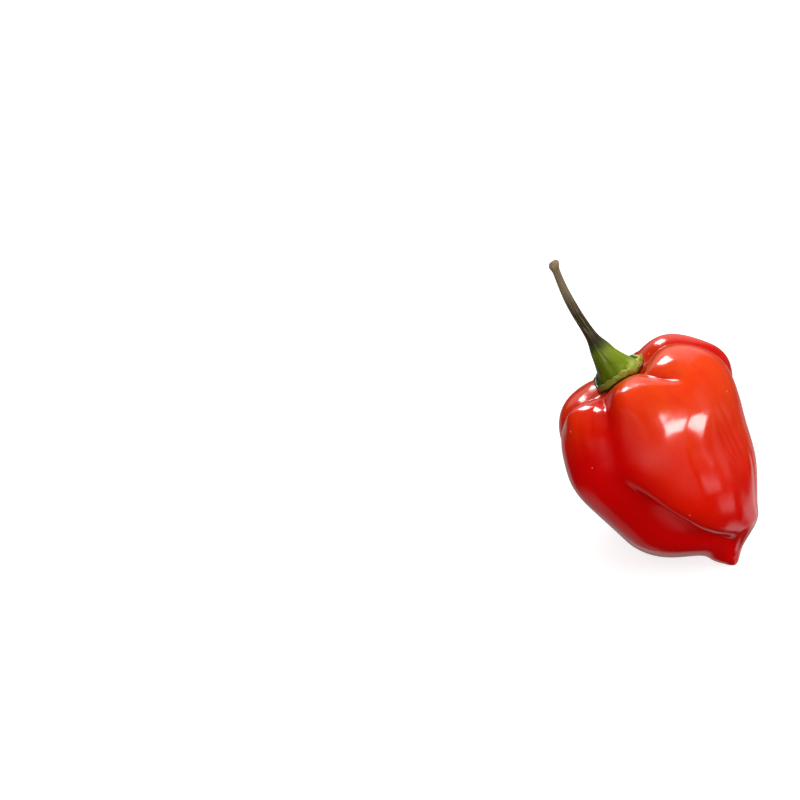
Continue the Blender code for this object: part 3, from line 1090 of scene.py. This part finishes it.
@dataclass
class Stem:
    """The stem and its calyx, with its crinkled lip and its ribs.

    Sizes are in millimetres and bearings in degrees. The flap is the side of the lip that stands up. The
    lip starts and is full at shares of the calyx's radius. Rows are those of the calyx's outline: where the
    lip grows pale and green again, where the groove's painted shade lies, and where the flap's painted glint
    is.
    """

    skin: Skin
    length: float = 27.0
    radius: float = 1.0
    calyx_radius: float = 5.3
    gap: float = 0.35
    around: int = 160
    per_row: int = 5
    teeth: int = 5
    first_tooth: float = -62.0
    dark_tooth: float = 84.0
    tooth_reach: float = 0.35
    tooth_lift: float = 0.15
    flap_at: float = 52.0
    flap_spread: float = 36.0
    flap_lift: float = 0.35
    crinkle_wavelength: float = 1.7
    crinkle_reach: float = 0.2
    crinkle_lift: float = 0.26
    least_crinkle: float = 0.45
    rib_wavelength: float = 3.4
    rib_height: float = 0.035
    stalk_roughness: float = 0.03
    lip_from: float = 0.80
    lip_full: float = 0.95
    lip_rows: tuple[float, float] = (3.0, 7.5)
    groove_shade_row: float = 10.2
    flap_glint_row: float = 12.7
    row_spread: float = 0.9

    def build(self) -> None:
        """Builds and dresses the stem."""
        rows = len(CALYX_OUTLINE) + len(STALK_OUTLINE)
        along = (rows - 1) * self.per_row + 2
        mesh, ring, bearing = ball(self.around, along)
        # Rows are counted up the stem from 0, and the mesh's rings down it from the top pole.
        row = np.clip((along - 1 - ring) / self.per_row, 0, rows - 1)
        points, held = self.surface(row, bearing)
        points[ring == 0] = (STEM_BENDS[-1][1], 0, self.length)
        points[ring == along] = (0, 0, self.gap + SEAT[0] * self.skin.length / 100)
        finish_piece(Piece.STEM, mesh, lie(points), held, StemSkin().make())

    def outline(self, row: np.ndarray) -> tuple[np.ndarray, np.ndarray, np.ndarray]:
        """The stem's outline, smooth through its rows.

        Args:
            row: How far up the outline each vertex lies, counted in its rows.

        Returns:
            The radius and the height, in millimetres, and how closely the fruit's shoulders are followed.
        """
        calyx = np.array(CALYX_OUTLINE) * (self.calyx_radius / 100, 1.0, 1.0)
        stalk = np.array(STALK_OUTLINE) * (self.radius / 100, self.length / 100)
        table = np.vstack([calyx, np.column_stack([stalk, np.zeros(len(stalk))])])
        numbers = np.arange(len(table))
        radius = natural_spline(numbers, table[:, 0])(row)
        lift = natural_spline(numbers, table[:, 1])(row)
        return radius, lift, np.clip(np.interp(row, numbers, table[:, 2]), 0, 1)

    def surface(self, row: np.ndarray, bearing: np.ndarray) -> tuple[np.ndarray, dict[str, np.ndarray]]:
        """The stem's skin.

        Args:
            row: How far up the outline each vertex lies, counted in its rows.
            bearing: Each vertex's bearing, in radians.

        Returns:
            The points, in millimetres, and what the mesh holds for its finish.
        """
        radius, lift, follows = self.outline(row)
        out = radius / self.calyx_radius
        at_lip = ease((out - self.lip_from) / (self.lip_full - self.lip_from)) * follows
        top_side = ease(lift / 0.6)
        slender = ease((lift - 2.0) / 5.0)
        from_tooth = bearing - math.radians(self.first_tooth)
        from_flap = turn_between(bearing, math.radians(self.flap_at))
        flap = np.exp(-((from_flap / math.radians(self.flap_spread)) ** 2))
        flap_side = 0.5 + 0.5 * np.cos(from_flap)
        tooth = np.maximum(np.cos(self.teeth * from_tooth), 0) ** 2 * flap_side
        # The relief is drawn on a plain cylinder of about the calyx's size.
        at = np.stack([6 * np.sin(bearing), -6 * np.cos(bearing), row * 0.7], axis=-1)
        crinkle = ripple(at, self.crinkle_wavelength, 11)
        crinkle = crinkle * (self.least_crinkle + (1 - self.least_crinkle) * flap_side)
        ribs = np.cos(self.teeth * 2 * from_tooth) + 0.6 * ripple(at, self.rib_wavelength, 4)

        radius = radius + at_lip * (self.tooth_reach * tooth + self.crinkle_reach * crinkle)
        relief = self.rib_height * ribs * (1 - at_lip) + self.stalk_roughness * crinkle * slender
        radius = radius * (1 + relief * ease(lift / 1.5))
        raised = self.tooth_lift * tooth + self.flap_lift * flap + self.crinkle_lift * crinkle
        shoulders = self.gap + self.skin.height_at(radius, bearing)
        height = lift + follows * shoulders + raised * at_lip * top_side
        bend_height, bend_right = np.array(STEM_BENDS).T
        centre = natural_spline(bend_height * self.length / 100, bend_right)(lift)
        x = centre * (1 - follows) + radius * np.sin(bearing)
        near_dark = turn_between(bearing, math.radians(self.dark_tooth)) / 0.25
        first, last = self.lip_rows
        held = {
            "up": np.clip(lift / self.length, 0, 1),
            "around_x": np.cos(bearing),
            "around_y": np.sin(bearing),
            "lip": ease((row - first) / 2) * (1 - ease((row - last) / 2)),
            # The band under the lip that is darkened as painted shade.
            "groove": np.exp(-(((row - self.groove_shade_row) / self.row_spread) ** 2)),
            # The band on the flap that carries the painted glint and the coat.
            "flap": flap * np.exp(-(((row - self.flap_glint_row) / self.row_spread) ** 2)),
            "tooth": tooth**2 * at_lip * np.exp(-(near_dark**2)),
            # How far round to the left, where painted shade darkens the funnel.
            "left_side": 0.5 - 0.5 * np.sin(bearing + 0.3),
        }
        return np.stack([x, -radius * np.cos(bearing), height], axis=-1), held


@dataclass(frozen=True)
class Pane:
    """A pale patch of the room that the skin mirrors.

    It lies around an azimuth, from the front (0) over the right (90), between two heights. Its sides and
    top are blurred alike, its foot by an amount of its own. All are in degrees, and the radiance is a
    share of the picture's white.
    """

    azimuth: float
    half_width: float
    low: float
    high: float
    blur: float
    foot_blur: float
    radiance: float

    def seen(self, right: Wire, back: Wire, up: Wire) -> Wire:
        """How much of it is seen in a direction.

        Args:
            right: The direction's share to the right.
            back: Its share to the back.
            up: Its share upwards.

        Returns:
            The radiance.
        """
        azimuth = math.radians(self.azimuth)
        level = (1.0 - up * up).over(1e-6) ** 0.5
        towards = (right * math.sin(azimuth) - back * math.cos(azimuth)) / level
        outer, inner = (math.cos(math.radians(self.half_width + edge)) for edge in (self.blur, -self.blur))
        above, under = (math.sin(math.radians(self.high + edge)) for edge in (self.blur, -self.blur))
        below, over = (math.sin(math.radians(self.low + edge)) for edge in (-self.foot_blur, self.foot_blur))
        return towards.step(outer, inner) * up.step(above, under) * up.step(below, over) * self.radiance


@dataclass(frozen=True)
class Softbox:
    """A soft rectangular light that faces the pepper.

    Its azimuth runs from the front (0) over the right (90). Its place and roll are in degrees, its sizes
    in metres. Either the skin mirrors it, or it lights the pepper and the floor evenly.
    """

    name: str
    azimuth: float
    height: float
    distance: float
    width: float
    tall: float
    roll: float
    radiance: float
    mirrored: bool

    def hang(self) -> None:
        """Puts the light in its place."""
        away = facing(self.azimuth, self.height)
        light = bpy.data.lights.new(self.name, "AREA")
        light.shape = "RECTANGLE"
        light.size, light.size_y = self.width, self.tall
        light.energy = self.radiance * math.pi * self.width * self.tall
        made = bpy.data.objects.new(self.name, light)
        roll = Matrix.Rotation(math.radians(self.roll), 4, "Z")
        turn = away.to_track_quat("Z", "Y").to_matrix().to_4x4() @ roll
        made.matrix_world = Matrix.Translation(Vector(SEAT_AT) * MM + away * self.distance) @ turn
        made.visible_camera = False
        made.visible_glossy = self.mirrored
        made.visible_diffuse = not self.mirrored
        bpy.context.scene.collection.objects.link(made)


@dataclass
class Studio:
    """The floor, the room, the soft lights and the camera.

    The camera looks down by its height in degrees. The picture's width and how far right of and above its
    middle the calyx lies are in millimetres at the calyx's distance, and the floor's half side is in metres.
    """

    camera_height: float = 30.0
    distance: float = 600.0
    picture_width: float = 160.0
    calyx_off_centre: tuple[float, float] = (44.2, 4.8)
    sensor: float = 36.0
    floor_size: float = 6.0
    room: float = 0.02
    # Azimuth, half width, low, high, blur, foot blur and radiance.
    panes: tuple[Pane, ...] = (
        Pane(3, 38, -14, 25, 4, 14, 0.40),
        Pane(61, 11, -10, -1, 3, 3, 1.7),
        Pane(96, 5, -6, 3, 5, 5, 0.5),
        Pane(79, 13, -31, -17, 6, 6, 1.1),
        Pane(104, 13, -64, -46, 6, 6, 0.9),
        Pane(131, 17, -46, -24, 6, 6, 0.75),
        Pane(130, 50, -15, 50, 12, 12, 0.08),
        Pane(-168, 32, 4, 58, 10, 10, 0.85),
        Pane(175, 30, -74, -50, 6, 6, 0.42),
        Pane(-120, 45, -68, -48, 8, 8, 0.28),
        Pane(-178, 44, -46, -22, 8, 8, 0.40),
        Pane(-150, 55, -82, -70, 6, 6, 0.25),
    )
    # Name, azimuth, height, distance, width, tallness, roll, radiance and whether it is mirrored.
    lights: tuple[Softbox, ...] = (
        Softbox("overhead_panel", 40, 84, 1, 2.4, 2.4, 0, 1, False),
        Softbox("low_fill", -22, 4, 0.6, 0.9, 0.2, 0, 3.3, False),
        Softbox("right_fill", 75, 25, 0.8, 0.6, 0.6, 0, 2.4, False),
        Softbox("back_fill", 175, 35, 0.8, 0.8, 0.6, 0, 2.2, False),
        Softbox("back_box", -151, 43.5, 0.5, 0.14, 0.18, 0, 30, True),
        Softbox("front_box", 22, 37, 0.6, 0.34, 0.12, -4, 21, True),
        Softbox("side_box", 61.5, 20, 0.6, 0.11, 0.36, 44, 19, True),
    )

    def build(self) -> None:
        """Sets the studio up."""
        self.floor()
        self.surroundings()
        for light in self.lights:
            light.hang()
        self.camera()

    def floor(self) -> None:
        """Lays the floor. The pepper neither mirrors it nor is lit by it: the room and the lights do that."""
        mesh = bmesh.new()
        bmesh.ops.create_grid(mesh, x_segments=1, y_segments=1, size=self.floor_size)
        data = bpy.data.meshes.new("floor")
        mesh.to_mesh(data)
        mesh.free()
        data.materials.append(PaleFloor().make())
        made = bpy.data.objects.new("floor", data)
        made.visible_glossy = False
        made.visible_diffuse = False
        bpy.context.scene.collection.objects.link(made)

    def surroundings(self) -> None:
        """Makes the room: dim, with its pale patches."""
        world = bpy.data.worlds.new("room")
        world.use_nodes = True
        tree = world.node_tree
        split = tree.nodes.new("ShaderNodeSeparateXYZ")
        tree.links.new(tree.nodes.new("ShaderNodeTexCoord").outputs["Generated"], split.inputs[0])
        directions = [Wire(tree, socket) for socket in split.outputs]
        light = sum((pane.seen(*directions) for pane in self.panes), self.room)
        background = tree.nodes["Background"]
        background.inputs["Color"].default_value = (1.0, 1.0, 1.0, 1.0)
        tree.links.new(light.socket, background.inputs["Strength"])
        bpy.context.scene.world = world

    def camera(self) -> None:
        """Sets the camera up, with the calyx right of the picture's middle and a little above it."""
        back = facing(0.0, self.camera_height)
        right = Vector((1, 0, 0))
        up = back.cross(right)
        off_right, off_up = self.calyx_off_centre
        to_calyx = math.sqrt(self.distance**2 + off_right**2 + off_up**2)
        backwards = (back * self.distance + right * off_right + up * off_up).normalized()
        across = up.cross(backwards).normalized()
        above = backwards.cross(across)
        eye = (Vector(SEAT_AT) + back * to_calyx) * MM
        data = bpy.data.cameras.new("camera")
        data.sensor_width = self.sensor
        data.lens = self.sensor * self.distance / self.picture_width
        data.clip_start = 0.01
        made = bpy.data.objects.new("camera", data)
        made.matrix_world = Matrix.Translation(eye) @ Matrix((across, above, backwards)).transposed().to_4x4()
        bpy.context.scene.collection.objects.link(made)
        bpy.context.scene.camera = made
        bpy.context.scene.view_settings.view_transform = "Standard"


def main() -> None:
    """Builds the pepper's pieces and the studio."""
    logging.basicConfig(level=logging.INFO, format="%(message)s")
    skin = Skin()
    Fruit(skin).build()
    Stem(skin).build()
    Studio().build()


if __name__ == "__main__":
    main()
